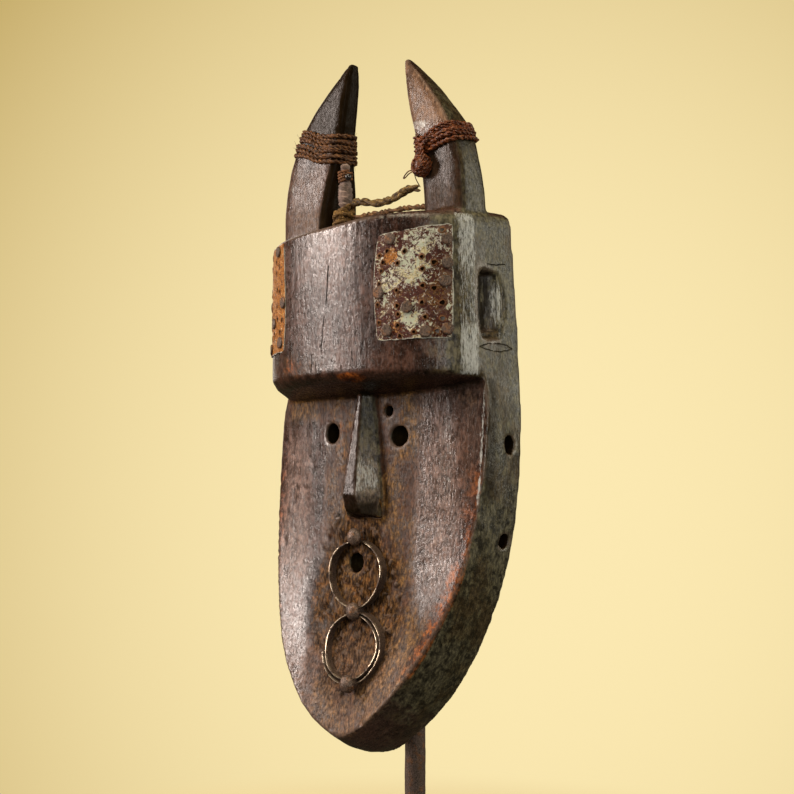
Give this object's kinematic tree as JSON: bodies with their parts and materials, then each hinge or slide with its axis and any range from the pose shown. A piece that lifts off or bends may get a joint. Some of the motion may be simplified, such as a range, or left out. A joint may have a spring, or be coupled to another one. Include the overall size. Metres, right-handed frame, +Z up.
{
  "type": "toma mask",
  "caption": "Carved wooden face mask with a deep brow, two horns, tin plates, iron rings and fibre cords, on an iron rod with a flat foot.",
  "frame": {"origin": "centre of the foot's underside", "axes": "+Z up, the mask looks along -Y, +X is the side that the picture shows"},
  "size_m": [0.201, 0.14, 0.586],
  "materials": {
    "carved_wood": "dark worn patina, satin on the high places, dusty elsewhere",
    "painted_tin": "rusted tin sheet with flaking cream and maroon paint",
    "rusty_iron": "pitted rust",
    "ring_iron": "dark iron strip with a bright worn edge",
    "red_cord": "coarse twisted plant fibre stained red-brown",
    "fibre_cord": "twisted golden-brown plant fibre",
    "grey_stick": "weathered grey stick",
    "stand_iron": "rough brown-black iron"
  },
  "bodies": {
    "root": {"mask": "carved_wood", "tin_plate_left": "painted_tin", "tin_plate_right": "painted_tin", "horn_cord_left": "red_cord", "horn_cord_right": "red_cord", "peg": "grey_stick", "peg_binding": "red_cord", "peg_knot": "fibre_cord", "peg_nail": "rusty_iron", "cord_upper": "fibre_cord", "cord_lower": "fibre_cord", "stand_rod": "stand_iron", "stand_foot": "stand_iron", "plate_nail_left_1": "rusty_iron", "plate_nail_left_2": "rusty_iron", "plate_nail_left_3": "rusty_iron", "plate_nail_left_4": "rusty_iron", "plate_nail_left_5": "rusty_iron", "plate_nail_left_6": "rusty_iron", "plate_nail_left_7": "rusty_iron", "plate_nail_left_8": "rusty_iron", "plate_nail_left_9": "rusty_iron", "plate_nail_right_1": "rusty_iron", "plate_nail_right_2": "rusty_iron", "plate_nail_right_3": "rusty_iron", "plate_nail_right_4": "rusty_iron", "plate_nail_right_5": "rusty_iron", "plate_nail_right_6": "rusty_iron", "plate_nail_right_7": "rusty_iron", "plate_nail_right_8": "rusty_iron", "plate_nail_right_9": "rusty_iron", "chin_stud_1": "rusty_iron", "chin_stud_2": "rusty_iron", "chin_stud_3": "rusty_iron", "chin_ring_1": "ring_iron", "chin_ring_2": "ring_iron"}
  },
  "joints": []
}
